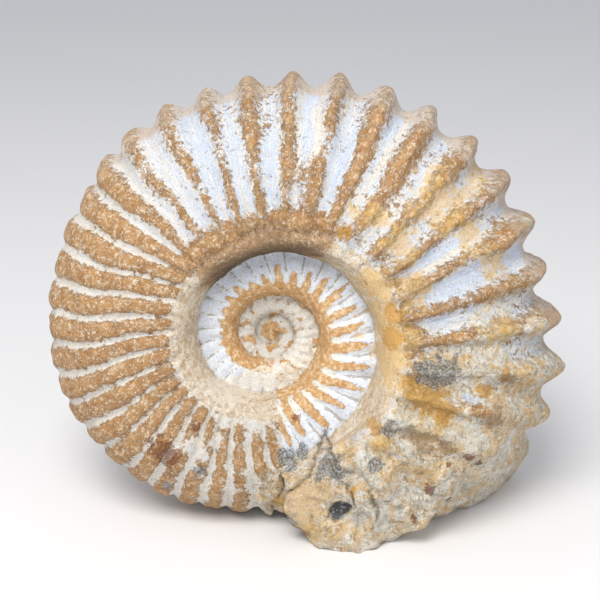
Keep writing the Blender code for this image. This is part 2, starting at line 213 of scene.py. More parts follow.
def coilSide(side):     # rows along the coil, columns across a whorl
    rows = int(round(coil["turns"] * mesh["rowsPerTurn"])) + 1
    turn = np.arange(rows)[:, None] / mesh["rowsPerTurn"]
    along, thick = whorlSection(turn[:, 0])
    floor = halfWidth(turn + 1.0) * thick[:, mesh["wallColumns"] + mesh["flankColumns"], None]
    nearBreak = 1.0 - smoothStep(0.0, brokenEnd["skewTurn"], turn)
    nearBreak = nearBreak + smoothStep(1.0 - brokenEnd["skewTurn"], 1.0, turn)
    turn = turn + brokenEnd["skew"] * smoothStep(*brokenEnd["skewPart"], along) * nearBreak
    inner, rim, half = seamRadius(turn), rimRadius(turn), halfWidth(turn)
    wall = np.arange(along.shape[1])[None, :] < mesh["wallColumns"]
    radius = inner + (rim - inner) * along
    width = np.where(wall, floor + (half - floor) * thick, half * thick)
    stepRadius, stepWidth = np.gradient(radius, axis=1), np.gradient(width, axis=1)
    length = np.hypot(stepRadius, stepWidth)
    outRadius, outWidth = -stepWidth / length, stepRadius / length
    outWidth[:, -1], outRadius[:, -1] = 0.0, 1.0
    rise = ribRelief(turn, along) * ribCrest(turn, along)
    radius, width = radius + outRadius * rise, width + outWidth * rise
    angle = coil["endAngle"] + 2.0 * math.pi * turn
    return np.stack([radius * np.cos(angle), radius * np.sin(angle), side * width], -1)


def buildSkin():
    points, faces, lastPart = [], [], []
    rowsPerTurn, cover = mesh["rowsPerTurn"], mesh["wallColumns"] + mesh["flankColumns"]
    sides = {side: coilSide(side) for side in (1, -1)}
    rows, columns = sides[1].shape[:2]
    number = {side: np.full((rows, columns), -1) for side in (1, -1)}

    def add(point, share=0.0):
        points.append(tuple(point))
        lastPart.append(share)
        return len(points) - 1

    def face(corners, flip=False):
        corners = list(dict.fromkeys(corners))
        if len(corners) > 2:
            faces.append(tuple(reversed(corners)) if flip else tuple(corners))

    offSeam = smoothStep(0.0, mesh["wallColumns"], np.arange(columns))
    for side in (1, -1):
        ids = number[side]
        for row in reversed(range(rows)):
            reached = row < brokenEnd["lastPart"] * rowsPerTurn
            for column in range(columns if row <= rowsPerTurn else cover + 1):
                if column == 0 and row + rowsPerTurn < rows:
                    ids[row, 0] = ids[row + rowsPerTurn, cover]     # lies on the whorl inside it
                elif column == columns - 1 and side == -1:
                    ids[row, column] = number[1][row, column]       # the middle of the rim is shared
                else:
                    ids[row, column] = add(sides[side][row, column], offSeam[column] if reached else 0.0)
        for row in range(rows - 1):
            for column in range(columns - 1 if row < rowsPerTurn else cover):
                face((ids[row, column], ids[row, column + 1], ids[row + 1, column + 1],
                      ids[row + 1, column]), side == -1)
        # the first tiny chamber
        loop = [ids[row, 0] for row in range(rows - 1 - rowsPerTurn, rows)]
        loop += [ids[rows - 1, column] for column in range(1, cover)]
        middle = np.mean([points[i] for i in loop], axis=0)
        top = add(middle + np.array([0.0, 0.0, side * coil["middleDome"]]))
        for first, second in zip(loop, loop[1:] + loop[:1]):
            face((first, second, top), side == -1)

    # rock face of the broken end
    front, back = number[1], number[-1]
    outer = list(front[0, :]) + list(back[0, :-1][::-1])
    inner = list(front[rowsPerTurn, cover:]) + list(back[rowsPerTurn, cover:-1][::-1])
    forward = np.array([math.sin(coil["endAngle"]), -math.cos(coil["endAngle"]), 0.0])
    outerPoints = np.array([points[i] for i in outer])
    innerPoints = np.array([points[i] for i in inner])

    def spaced(line, count):
        place = np.linspace(0.0, len(line) - 1.0, count)
        low = np.floor(place).astype(int)
        part = (place - low)[:, None]
        return line[low] * (1.0 - part) + line[np.minimum(low + 1, len(line) - 1)] * part

    lines = [inner]
    for row in range(1, mesh["capRows"]):
        share = row / mesh["capRows"]
        count = int(round(len(inner) + (len(outer) - len(inner)) * share))
        ends = np.sin(math.pi * np.linspace(0.0, 1.0, count))
        line = spaced(innerPoints, count) * (1.0 - share) + spaced(outerPoints, count) * share
        out = brokenEnd["bulge"] * share**2 * math.sqrt(1.0 - share) * np.sqrt(np.maximum(ends, 0.0))
        line = line + forward * out[:, None]
        off = share * np.minimum(1.0, 2.0 * ends)
        added = [add(point, amount) for point, amount in zip(line[1:-1], off[1:-1])]
        lines.append([inner[0]] + added + [inner[-1]])
    lines.append(outer)
    for first, second in zip(lines, lines[1:]):
        a = b = 0
        while a < len(first) - 1 or b < len(second) - 1:
            aheadA, aheadB = (a + 1) / (len(first) - 1), (b + 1) / (len(second) - 1)
            if b == len(second) - 1 or (a < len(first) - 1 and aheadA <= aheadB):
                face((first[a], first[a + 1], second[b]))
                a += 1
            else:
                face((first[a], second[b + 1], second[b]))
                b += 1
    return np.array(points), faces, np.array(lastPart)


def squash(points, amount):
    u, h, w = points.T
    cos, sin = math.cos(coil["squashAngle"]), math.sin(coil["squashAngle"])
    withIt = (u * cos + h * sin) * (1.0 + amount)
    across = (h * cos - u * sin) * (1.0 - amount)
    return np.stack([withIt * cos - across * sin, withIt * sin + across * cos, w], -1)


def knockOff(points, lastPart):
    down = (0.0, -math.cos(coil["lean"]), -math.sin(coil["lean"]))
    for direction, distance in brokenEnd["breaks"] + ((down, brokenEnd["underside"]),):
        normal = np.array(direction) / np.linalg.norm(direction)
        outside = (points @ normal - distance) / brokenEnd["softness"]
        nearest = np.logaddexp(0.0, outside) * brokenEnd["softness"]
        points = points - normal * (nearest * lastPart)[:, None]
    return points


def addBackLump(points):
    away = np.linalg.norm(points - brokenEnd["backLump"], axis=1) / brokenEnd["backLumpSize"]
    return points + np.exp(-(away**2))[:, None] * brokenEnd["backLumpOut"]


def standUp(points):
    u, h, w = points.T
    lean = coil["lean"]
    z = h * math.cos(lean) + w * math.sin(lean)
    return np.stack([u, h * math.sin(lean) - w * math.cos(lean), z - z[u < 0.0].min() - coil["footDepth"]], -1)


def meshFrom(name, points, faces):
    made = bpy.data.meshes.new(name)
    made.from_pydata([tuple(point) for point in points], [], faces)
    return made


def readVectors(data, name):
    found = np.empty(len(data.vertices) * 3)
    data.vertices.foreach_get(name, found)
    return found.reshape(-1, 3)


def modified(data, kind, **settings):
    helper = bpy.data.objects.new("helper", data)
    bpy.context.scene.collection.objects.link(helper)
    modifier = helper.modifiers.new(kind, kind)
    for name, value in settings.items():
        setattr(modifier, name, value)
    bpy.context.view_layer.update()
    made = bpy.data.meshes.new_from_object(helper.evaluated_get(bpy.context.evaluated_depsgraph_get()))
    bpy.data.objects.remove(helper)
    return made


def readPlaces(points):     # where on the coil each point lies
    u, h, w = squash(points, -coil["squash"]).T
    radius, angle = np.hypot(u, h), np.arctan2(h, u)
    first = ((angle - coil["endAngle"]) / (2.0 * math.pi)) % 1.0
    turn = first.copy()
    for whorl in (1, 2, 3):
        turn = np.where(radius < seamRadius(first + whorl - 1.0), first + whorl, turn)
    inner, rim = seamRadius(turn), rimRadius(turn)
    along = np.clip((radius - inner) / (rim - inner), 0.0, 1.0)
    seen = np.clip((radius - inner) / np.maximum(seamRadius(turn - 1.0) - inner, 1e-6), 0.0, 1.0)
    signed = (first + 0.5) % 1.0 - 0.5
    pastEnd = 1.0 - smoothStep(0.0, brokenEnd["skew"], -signed)
    rocky = pastEnd * (1.0 - smoothStep(*brokenEnd["roughTurns"], signed))
    rocky = rocky * smoothStep(0.0, brokenEnd["roughStart"], radius - seamRadius(np.maximum(signed, 0.0)))
    return {"u": u, "h": h, "w": w, "radius": radius, "angle": np.degrees(angle) % 360.0, "turn": turn,
            "along": along, "seen": seen, "rocky": rocky, "rib": ribNumber(turn, along),
            "crest": ribCrest(turn, along)}


def bumps(points, length, start):
    shift = Vector((start, start * 0.7, -start))
    return np.array([noise.noise(Vector(point) / length + shift) for point in points])


def weather(points, places):     # the same lumps as the solid's
    noise.seed_set(brokenEnd["noiseSeed"])
    fade = np.minimum(np.hypot(points[:, 0], points[:, 1]) / coil["middleSmooth"], 1.0)[:, None]
    lumps = np.array([noise.noise_vector(Vector(point) / weathering["lumpLength"]) for point in points])
    moved = points + lumps * weathering["lumpSize"] * fade
    rough = places["rocky"] > 0.0
    blocks = []
    for point in points[rough]:
        near = Vector(point) / brokenEnd["lumpLength"] + brokenEnd["noiseStart"]
        blocks.append(noise.noise_vector(near)
                      + noise.noise_vector(near * brokenEnd["fineLumpScale"]) * brokenEnd["fineLumps"])
    moved[rough] += np.array(blocks) * (brokenEnd["roughness"] * places["rocky"][rough])[:, None]
    return moved


def hollowness(data):     # positive in hollows, negative on crests, in metres
    points, normals = readVectors(data, "co"), readVectors(data, "normal")
    edges = np.empty(len(data.edges) * 2, dtype=np.int64)
    data.edges.foreach_get("vertices", edges)
    a, b = edges.reshape(-1, 2).T
    count = len(points)
    shared = np.bincount(a, minlength=count) + np.bincount(b, minlength=count)
    smoothed = points.copy()
    for _ in range(looks["hollowRounds"]):
        total = np.stack([np.bincount(a, smoothed[b, i], count) + np.bincount(b, smoothed[a, i], count)
                          for i in range(3)], -1)
        smoothed = total / np.maximum(shared, 1)[:, None]
    return ((smoothed - points) * normals).sum(1)


# Marks on the side that shows, in millimetres on the disc: u, h, radius
marks = {
    "yellow": ((48, 40, 11), (39, 30, 8), (28, 38, 6), (33, 6, 8), (47, -16, 7), (58, 30, 7), (36, -3, 7),
               (42, 16, 7), (30, 18, 6), (51, -21, 5), (66, 22, 6), (34, -28, 6), (60, 46, 6), (42, -12, 5),
               (3.5, -51, 2.6), (18, -44, 2.4), (26, -46, 3), (13, -58, 3.5), (38, 3, 6), (68, 4, 5)),
    "ochre": ((47, -15.5, 6), (42.5, -12, 4.5), (51.5, -20.5, 4), (36, 2, 3.4), (36, 9, 3.0), (22, 33, 2.6),
              (31, -24, 2.6), (4, -50, 1.8), (26, -46, 2.2), (69, -10, 2.6), (63, -15, 2.4)),
    "rust": ((-31.0, -33.0, 4.4), (-29.0, -36.0, 3.6), (-21.5, -25.5, 1.4), (8.2, -23.8, 1.5), (59.5, -35, 1.7),
             (62.5, -38.5, 1.3), (48.0, -45, 2.0), (53, -37, 1.1), (56, -52, 1.3), (44, -55, 1.4)),
    "brown": ((46, -30, 4.2), (41, -27, 3.0), (52, -32, 3.2), (66, -24, 3.6), (71, -12, 3.0), (10, -60, 3.0)),
    "white": ((0, -13.5, 4.6), (-6, -15.2, 4.2), (6, -12, 3.6), (-11.5, -16.5, 4.2), (10, -9.0, 2.6),
              (-16.5, -14.5, 3.2), (42, -22, 2.2), (47, -24.5, 2.2), (52, -28, 2.0), (38.5, -20, 2.0),
              (60, -31, 2.6)),
    "facet": ((10.5, -47.0, 6.4), (15.5, -44.0, 4.6), (9.0, -53.0, 4.6)),
    "crystal": ((5.5, -36.5, 3.6), (10.0, -34.5, 2.6), (-31, -46.5, 1.9), (-20.5, -40.5, 1.8), (47.5, -9, 5.2),
                (52.5, -8.5, 4.0), (19.5, -36.5, 4.2), (16.5, -39.5, 2.6), (36, -25.5, 2.4), (21, -51, 3.0),
                (33, -36, 2.0), (8, -56, 2.4)),
    "bare": ((-23, -31.5, 3.4), (-12, -22, 4.5), (-4, -25, 4.0), (-20, -35, 2.6), (-15, -30, 2.4)),
}

cracks = (     # lines of dark gap on the broken end, in millimetres on the disc
    ((17.5, -29.0), (14.0, -36.0), (8.5, -43.0), (3.5, -48.5)),
    ((19.0, -35.5), (24.0, -43.0), (25.0, -50.0)),
    ((31.5, -45.5), (33.0, -50.5), (33.5, -55.0)),
    ((17.0, -28.5), (18.5, -31.5), (21.5, -36.0)),
)
crackShape = {"width": 0.0006, "inner": 0.3, "depth": 0.0008, "wander": 0.0007}

pocket = {"u": 0.0210, "h": -0.0515, "radius": 0.0034, "depth": 0.0018, "edge": (0.55, 1.15), "ragged": 0.2}

edgeShape = {     # how marks end
    "raggedLength": 0.0022, "fineLength": 0.0009, "fineShare": 0.6,
    "wavyLength": 0.0030,
    "spotEdge": (0.25, 1.55), "spotRagged": 0.45,
    "frontFrom": (-0.002, 0.004),        # marks stay on the side that shows
}

patches = {     # lengths in metres, or repeats across the ribs and along them
    "slowLength": 0.014, "smallLength": 0.0035, "orangeLength": 0.0026,
    "patchy": (0.9, 2.2), "breaks": (1.5, 6.0),
}

aroundCoil = {     # degrees round the coil, between which a thing comes and goes
    "topLeft": (88.0, 104.0, 128.0, 144.0), "bottom": (205.0, 244.0, 276.0, 288.0),
    "top": (45.0, 75.0, 125.0, 150.0), "leftWall": (128.0, 145.0, 222.0, 240.0), "rightWall": (60.0, 90.0),
}

rindSharp = {"base": 0.10, "crest": 0.62, "power": 1.5, "patchy": 0.32, "slow": 0.14, "breaks": 0.30,
             "flank": (0.13, 0.30), "atRim": (0.9, 1.0), "lessAtRim": 0.25, "lessTopLeft": 0.16}
rindBroad = {"base": 0.08, "crest": 0.90, "patchy": 0.24, "breaks": 0.26, "small": 0.24, "smallBelow": 0.30,
             "flank": (0.08, 0.22), "lessTopLeft": 0.18, "lessBelow": 0.20}
rindShoulder = {"along": (0.10, 0.17, 0.22, 0.36), "base": 0.40, "atTop": 0.42, "slow": 0.45}

looks = {
    "broadTurns": (0.52, 0.64),          # the rind is broad on the ribs from here on
    "turnIn": (0.0, 0.10, 0.20, 0.35, 0.50, 0.72, 0.85, 1.0),     # turns behind the last whorl's start
    "ringReach": (0.02, 0.08, 0.18, 0.26, 0.29, 0.32, 0.32, 0.26),
    "fingerReach": (0.86, 0.88, 0.95, 0.84, 0.62, 0.50, 0.34, 0.26),
    "ringEdge": 0.10, "fingerSlow": 0.10, "fingerPatchy": 0.22, "fingerSteep": 1.6,
    "fingerRoot": 0.37, "fingerTaper": 0.62,     # how wide a finger starts and how it narrows
    "innermost": 0.22, "innermostPatches": 1.1,
    "middle": 0.0060, "middleEdge": (0.35, 0.75),
    "lineCrest": 0.16, "lineSeen": (0.45, 0.62), "bandWave": (0.10, 0.42), "bandSeen": (0.30, 0.55),
    "blueSeen": (0.35, 0.55), "blueOnBroad": 0.2, "chalkInside": 0.35,
    "wallEdge": (0.13, 0.20), "wallWavy": 0.03, "wallFill": 0.78, "leftWallFill": 0.22,
    # where the top wall under the shoulder is painted brown with shade, and where the painted shadow at its seam
    # ends
    "underShadowEdge": (0.17, 0.25), "underWavy": 0.04, "seamShadowEdge": (0.01, 0.13),
    "yellow": 0.75, "yellowSlow": 0.5, "wallYellow": 0.30, "wallYellowBase": 0.8,
    "mottledTurns": (0.18, 0.29), "mottledSlow": 0.10, "mottledAlong": (0.13, 0.18),
    "tipsAlong": (0.90, 1.0), "tipsLessBroad": 0.6, "rindLessOnWall": 0.8,
    "hollowRounds": 24, "hollowDepth": 0.0012,
    "ribSpace": (3.0, 20.0),             # what along and w are multiplied by beside the rib's number
}


def between(value, limits):     # rises over the first two limits and falls over the last two
    return smoothStep(*limits[:2], value) * (1.0 - smoothStep(*limits[2:], value))


def spotMask(places, name):
    mask = np.zeros(len(places["u"]))
    for u, h, radius in marks[name]:
        away = np.hypot(places["u"] - u / 1000.0, places["h"] - h / 1000.0) / (radius / 1000.0)
        away = away + places["ragged"] * edgeShape["spotRagged"]
        mask = np.maximum(mask, 1.0 - smoothStep(*edgeShape["spotEdge"], away))
    return mask * places["front"]


def crackMask(places):
    nearest = np.full(len(places["u"]), 1.0)
    wander, width = crackShape["wander"], crackShape["width"]
    ground = np.stack([places["u"] + places["ragged"] * wander, places["h"] + places["wavy"] * wander], -1)
    for line in cracks:
        corners = np.array(line) / 1000.0
        for start, end in zip(corners[:-1], corners[1:]):
            way = end - start
            share = np.clip(((ground - start) @ way) / (way @ way), 0.0, 1.0)
            nearest = np.minimum(nearest, np.linalg.norm(ground - start - share[:, None] * way, axis=1))
    return (1.0 - smoothStep(width * crackShape["inner"], width, nearest)) * places["front"]


def pocketMask(places):
    away = np.hypot(places["u"] - pocket["u"], places["h"] - pocket["h"]) / pocket["radius"]
    return (1.0 - smoothStep(*pocket["edge"], away + places["ragged"] * pocket["ragged"])) * places["front"]


def addEdges(points, places):
    fine = bumps(points, edgeShape["fineLength"], 5.0)
    places["ragged"] = bumps(points, edgeShape["raggedLength"], 3.0) + edgeShape["fineShare"] * fine
    places["wavy"] = bumps(points, edgeShape["wavyLength"], 11.0)
    places["front"] = smoothStep(*edgeShape["frontFrom"], points[:, 2])
    places["wave"] = 0.5 + 0.5 * np.cos(2.0 * math.pi * places["rib"])
    places["facet"] = spotMask(places, "facet") * places["rocky"]
    places["crack"], places["pocket"] = crackMask(places), pocketMask(places)


def fineShape(points, places):     # inwards more than out
    rocky, turn, size = places["rocky"], places["turn"], weathering
    knobs = bumps(points, size["knobLength"], 1.0) * size["knobSize"]
    fine = knobs * (1.0 - rocky) * (size["knobInGroove"] + places["crest"])
    fine += bumps(points, size["chalkLength"], 2.0) * size["chalkSize"]
    fine += size["innerRibs"] * places["wave"] * between(turn, size["innerRibTurns"])
    lumpy = bumps(points, size["rockLength"], 4.0) - size["rockSunk"]
    grain = np.abs(bumps(points, size["grainLength"], 6.0)) - size["grainSunk"]
    rough = rocky * (1.0 - size["facetSmooth"] * places["facet"])
    fine += rough * (lumpy * size["rockSize"] + grain * size["grainSize"])
    return fine - places["crack"] * crackShape["depth"] - places["pocket"] * pocket["depth"]


def rindMask(places, uneven):
    along, angle, turn = places["along"], places["angle"], places["turn"]
    patchy, breaks, slow = uneven["patchy"], uneven["breaks"], uneven["slow"]
    topLeft, below = between(angle, aroundCoil["topLeft"]), between(angle, aroundCoil["bottom"])
    part = rindSharp
    sharp = (part["base"] + part["crest"] * places["wave"] ** part["power"]) * smoothStep(*part["flank"], along)
    sharp = sharp + part["patchy"] * patchy + part["slow"] * slow + part["breaks"] * breaks
    sharp = sharp * (1.0 - part["lessAtRim"] * smoothStep(*part["atRim"], along)) - part["lessTopLeft"] * topLeft
    part = rindBroad
    broad = (part["crest"] * places["crest"] + part["base"]) * smoothStep(*part["flank"], along)
    broad = broad + part["patchy"] * patchy + part["breaks"] * breaks
    broad = broad + (part["small"] + part["smallBelow"] * below) * uneven["small"]
    broad = broad - part["lessTopLeft"] * topLeft - part["lessBelow"] * below
    later = smoothStep(*looks["broadTurns"], turn)
    part = rindShoulder
    shoulder = part["base"] + part["atTop"] * between(angle, aroundCoil["top"]) + part["slow"] * slow
    shoulder = between(along, part["along"]) * shoulder
    return np.where(turn < 1.0, np.maximum(sharp * (1.0 - later) + broad * later, shoulder), 0.0)


def orangeMask(points, places, uneven):     # a ring with a finger up each rib, then flecks and the very middle
    turn, seen = places["turn"], places["seen"]
    ringReach = np.interp(turn - 1.0, looks["turnIn"], looks["ringReach"])
    fingerReach = np.interp(turn - 1.0, looks["turnIn"], looks["fingerReach"])
    fingerReach = fingerReach + looks["fingerSlow"] * uneven["slow"] + looks["fingerPatchy"] * uneven["patchy"]
    ring = 1.0 - smoothStep(0.0, looks["ringEdge"], seen - ringReach)
    up = np.clip((seen - ringReach) / np.maximum(fingerReach - ringReach, 0.02), 0.0, 1.3)
    taper = looks["fingerRoot"] + looks["fingerTaper"] * up**2
    finger = 0.5 + looks["fingerSteep"] * (places["wave"] - taper)
    orange = np.where((turn >= 1.0) & (turn < 2.0), np.maximum(ring, finger), 0.0)
    flecks = looks["innermost"] + looks["innermostPatches"] * bumps(points, patches["orangeLength"], 12.0)
    orange = np.where(turn >= 2.0, flecks, orange)
    return np.maximum(orange, 1.0 - smoothStep(*looks["middleEdge"], places["radius"] / looks["middle"]))


def readMasks(points, places, hollow):     # what the material reads
    angle, seen, along, turn = places["angle"], places["seen"], places["along"], places["turn"]
    outer, second, shell = turn < 1.0, (turn >= 1.0) & (turn < 2.0), 1.0 - places["rocky"]
    ribAlong = {name: np.stack([places["rib"] * patches[name][0], along * patches[name][1], places["front"]], -1)
                for name in ("patchy", "breaks")}
    uneven = {
        "slow": bumps(points, patches["slowLength"], 8.0),
        "small": bumps(points, patches["smallLength"], 15.0),
        "patchy": bumps(ribAlong["patchy"], 1.0, 2.0),
        "breaks": bumps(ribAlong["breaks"], 1.0, 9.0),
    }
    slow = uneven["slow"]
    broad = smoothStep(*looks["broadTurns"], turn) * outer
    atTop = between(angle, aroundCoil["top"])
    wall = 1.0 - smoothStep(*looks["wallEdge"], along + looks["wallWavy"] * places["wavy"])
    wall = np.where(outer, wall, 0.0)
    fill = looks["wallFill"] + looks["leftWallFill"] * between(angle, aroundCoil["leftWall"])
    under = 1.0 - smoothStep(*looks["underShadowEdge"], along + looks["underWavy"] * places["wavy"])
    rightWall = wall * (1.0 - smoothStep(*aroundCoil["rightWall"], (angle + 90.0) % 360.0 - 90.0))
    yellow = np.maximum(spotMask(places, "yellow") * (looks["yellow"] + looks["yellowSlow"] * slow),
                        looks["wallYellow"] * rightWall * (looks["wallYellowBase"] + slow))
    mottled = (1.0 - smoothStep(*looks["mottledTurns"], turn + looks["mottledSlow"] * slow)) * outer
    mottled = np.maximum(mottled * smoothStep(*looks["mottledAlong"], along), places["rocky"])
    rind = rindMask(places, uneven) * (1.0 - looks["rindLessOnWall"] * wall) * (1.0 - spotMask(places, "bare"))
    masks = {name: spotMask(places, name) for name in ("ochre", "rust", "brown", "white", "crystal")}
    masks.update({name: places[name] for name in ("facet", "pocket", "crack")})
    masks.update({
        "rind": np.clip(rind, 0.0, 1.0) * shell,
        "orange": np.clip(orangeMask(points, places, uneven), 0.0, 1.0),
        "fill": np.clip(wall * fill, 0.0, 1.0) * shell,
        "yellow": np.clip(yellow, 0.0, 1.0),
        "crystal": np.maximum(masks["crystal"], places["pocket"]),
        "rocky": np.clip(mottled, 0.0, 1.0),
        "tips": smoothStep(*looks["tipsAlong"], along) * (1.0 - looks["tipsLessBroad"] * broad) * outer * shell,
        "hollow": np.clip(hollow / looks["hollowDepth"], -1.0, 1.0) * 0.5 + 0.5,
        "lines": second * (1.0 - smoothStep(0.0, looks["lineCrest"], places["crest"]))
        * smoothStep(*looks["lineSeen"], seen),
        "bands": second * (1.0 - smoothStep(*looks["bandWave"], places["wave"]))
        * smoothStep(*looks["bandSeen"], seen),
        # the top wall under the shoulder: brown rind, darkened as painted shade
        "under": outer * atTop * under,
        # painted shadow along the seam under the top shoulder
        "seamShadow": outer * atTop * (1.0 - smoothStep(*looks["seamShadowEdge"], along)),
        "blue": np.where(second, smoothStep(*looks["blueSeen"], seen),
                         outer * (1.0 - (1.0 - looks["blueOnBroad"]) * broad)),
        "inner": np.where(outer, 0.0, 1.0),
        "chalk": np.where(outer, 1.0 - np.clip(broad + wall, 0.0, 1.0), looks["chalkInside"]),
    })
    return masks


def makeStone():
    points, faces, lastPart = buildSkin()
    points = addBackLump(knockOff(squash(points, coil["squash"]), lastPart))
    even = modified(meshFrom("skin", points, faces), "REMESH", mode="VOXEL", voxel_size=mesh["step"])
    points, normals = readVectors(even, "co"), readVectors(even, "normal")
    print("skin evened to", len(points), "points")

    places = readPlaces(points)
    addEdges(points, places)
    moved = standUp(weather(points, places) + normals * fineShape(points, places)[:, None])
    even.vertices.foreach_set("co", moved.ravel())
    even.update()
    hollow = hollowness(even)
    print("weathered")

    masks = readMasks(points, places, hollow)
    byAlong, byW = looks["ribSpace"]
    ribSpace = np.stack([places["rib"], places["along"] * byAlong, places["w"] * byW], -1)
    print("masks read")

    share = mesh["triangles"] / sum(len(polygon.vertices) - 2 for polygon in even.polygons)
    final = modified(even, "DECIMATE", ratio=share)
    grindFoot(final)
    tree = kdtree.KDTree(len(moved))
    for index, point in enumerate(moved):
        tree.insert(point, index)
    tree.balance()
    source = np.array([tree.find(vertex.co)[1] for vertex in final.vertices])
    for name, values in masks.items():
        final.attributes.new(name, "FLOAT", "POINT").data.foreach_set("value", values[source].astype(np.float32))
    final.attributes.new("ribSpace", "FLOAT_VECTOR", "POINT").data.foreach_set(
        "vector", ribSpace[source].astype(np.float32).ravel())
    fitInside(final)
    final.name = "ammonite_stone"
    final.shade_smooth()
    stone = bpy.data.objects.new("ammonite_stone", final)
    bpy.context.scene.collection.objects.link(stone)
    print("stone has", len(final.polygons), "faces")
    return stone


def grindFoot(data):     # flat where it stands
    work = bmesh.new()
    work.from_mesh(data)
    everything = work.verts[:] + work.edges[:] + work.faces[:]
    cut = bmesh.ops.bisect_plane(work, geom=everything, plane_co=(0, 0, 0), plane_no=(0, 0, 1), clear_inner=True)
    edges = [item for item in cut["geom_cut"] if isinstance(item, bmesh.types.BMEdge)]
    bmesh.ops.holes_fill(work, edges=edges, sides=0)
    unseen, largest = set(work.verts), set()
    while unseen:
        body, front = set(), [unseen.pop()]
        while front:
            vert = front.pop()
            body.add(vert)
            found = {edge.other_vert(vert) for edge in vert.link_edges} & unseen
            unseen -= found
            front.extend(found)
        if len(body) > len(largest):
            largest = body
    bmesh.ops.delete(work, geom=[vert for vert in work.verts if vert not in largest], context="VERTS")
    bmesh.ops.triangulate(work, faces=[face for face in work.faces if len(face.verts) > 4])
    bmesh.ops.recalc_face_normals(work, faces=work.faces[:])
    work.to_mesh(data)
    work.free()


def fitInside(data):     # inside the solid's own box
    low, high = (np.array(corner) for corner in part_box("ammonite"))
    points = readVectors(data, "co")
    mine, top = points.min(0), points.max(0)
    shrink = np.minimum((high - low) / (top - mine), 1.0)
    middle = (low + high) / 2.0
    middle[2] = low[2]
    mineMiddle = (mine + top) / 2.0
    mineMiddle[2] = mine[2]
    data.vertices.foreach_set("co", ((points - mineMiddle) * shrink + middle).ravel())
    data.update()


# Node helpers
def newMaterial(name):
    material = bpy.data.materials.new(name)
    material.use_nodes = True
    return material, material.node_tree, material.node_tree.nodes["Principled BSDF"]


def addNode(tree, kind, values=None, **settings):     # a value is a number, a tuple or another node's socket
    node = tree.nodes.new(kind)
    for name, value in settings.items():
        setattr(node, name, value)
    for socket, value in (values or {}).items():
        if isinstance(value, bpy.types.NodeSocket):
            tree.links.new(value, node.inputs[socket])
        else:
            node.inputs[socket].default_value = value
    return node


def attribute(tree, name):
    return addNode(tree, "ShaderNodeAttribute", attribute_name=name).outputs["Fac"]


def math2(tree, operation, a, b):
    return addNode(tree, "ShaderNodeMath", {0: a, 1: b}, operation=operation).outputs[0]


def mixColour(tree, factor, a, b, blend="MIX"):
    a, b = ((*value, 1.0) if isinstance(value, tuple) else value for value in (a, b))
    return addNode(tree, "ShaderNodeMix", {0: factor, 6: a, 7: b}, data_type="RGBA", blend_type=blend).outputs[2]


def noiseAt(tree, vector, scale, detail, roughness, distortion):
    return addNode(tree, "ShaderNodeTexNoise", {
        "Vector": vector, "Scale": scale, "Detail": detail, "Roughness": roughness,
        "Distortion": distortion}).outputs["Fac"]


def rampTo(tree, value, low, high):
    return addNode(tree, "ShaderNodeMapRange", {"Value": value, "From Min": low, "From Max": high},
                   interpolation_type="SMOOTHSTEP").outputs["Result"]


def makeRaggedEdge():     # turns a soft mask into one with a crumbly edge
    group = bpy.data.node_groups.new("ragged_edge", "ShaderNodeTree")
    for name in ("Mask", "Vector", "Scale", "Spread", "Softness"):
        kind = "NodeSocketVector" if name == "Vector" else "NodeSocketFloat"
        group.interface.new_socket(name, in_out="INPUT", socket_type=kind)
    group.interface.new_socket("Edge", in_out="OUTPUT", socket_type="NodeSocketFloat")
    given, end = group.nodes.new("NodeGroupInput").outputs, group.nodes.new("NodeGroupOutput")
    crumbs = noiseAt(group, given["Vector"], given["Scale"], *crumbNoise)
    around = math2(group, "MULTIPLY", math2(group, "SUBTRACT", crumbs, 0.5), given["Spread"])
    low, high = (math2(group, operation, 0.5, given["Softness"]) for operation in ("SUBTRACT", "ADD"))
    group.links.new(rampTo(group, math2(group, "ADD", around, given["Mask"]), low, high), end.inputs["Edge"])


# Noises: the space each is in, then scale, detail, roughness and distortion
noises = {
    "streaks": ("alongRibs", 0.6, 4.0, 0.62, 0.2),
    "fibres": ("alongRibs", 2.2, 6.0, 0.72, 0.3),
    "whiteFibres": ("alongRibs", 3.4, 6.0, 0.74, 0.2),
    "fineFibres": ("alongRibs", 5.5, 5.0, 0.75, 0.2),
    "woundFibres": ("roundCoil", 1.6, 6.0, 0.75, 0.5),
    "fine": ("place", 900.0, 5.0, 0.75, 0.0),
    "grain": ("place", 2300.0, 3.0, 0.7, 0.0),
    "crumbs": ("place", 560.0, 5.0, 0.78, 0.3),
    "pits": ("place", 760.0, 5.0, 0.75, 0.6),
    "specks": ("place", 1250.0, 4.0, 0.75, 0.0),
    "rind": ("place", 260.0, 6.0, 0.75, 0.0),
    "orange": ("place", 620.0, 5.0, 0.75, 0.0),
    "under": ("place", 380.0, 6.0, 0.78, 0.6),
    "rock": ("place", 330.0, 8.0, 0.80, 0.9),
    "ochre": ("place", 95.0, 9.0, 0.82, 0.9),
    "brown": ("place", 240.0, 8.0, 0.80, 1.2),
    "darkVeins": ("place", 150.0, 6.0, 0.68, 0.8),
    "whiteVeins": ("place", 260.0, 6.0, 0.68, 0.8),
}
stretches = {"alongRibs": (7.0, 0.55, 0.6), "roundCoil": (0.35, 14.0, 4.0)}
veinWidths = {"darkVeins": 0.011, "whiteVeins": 0.018}

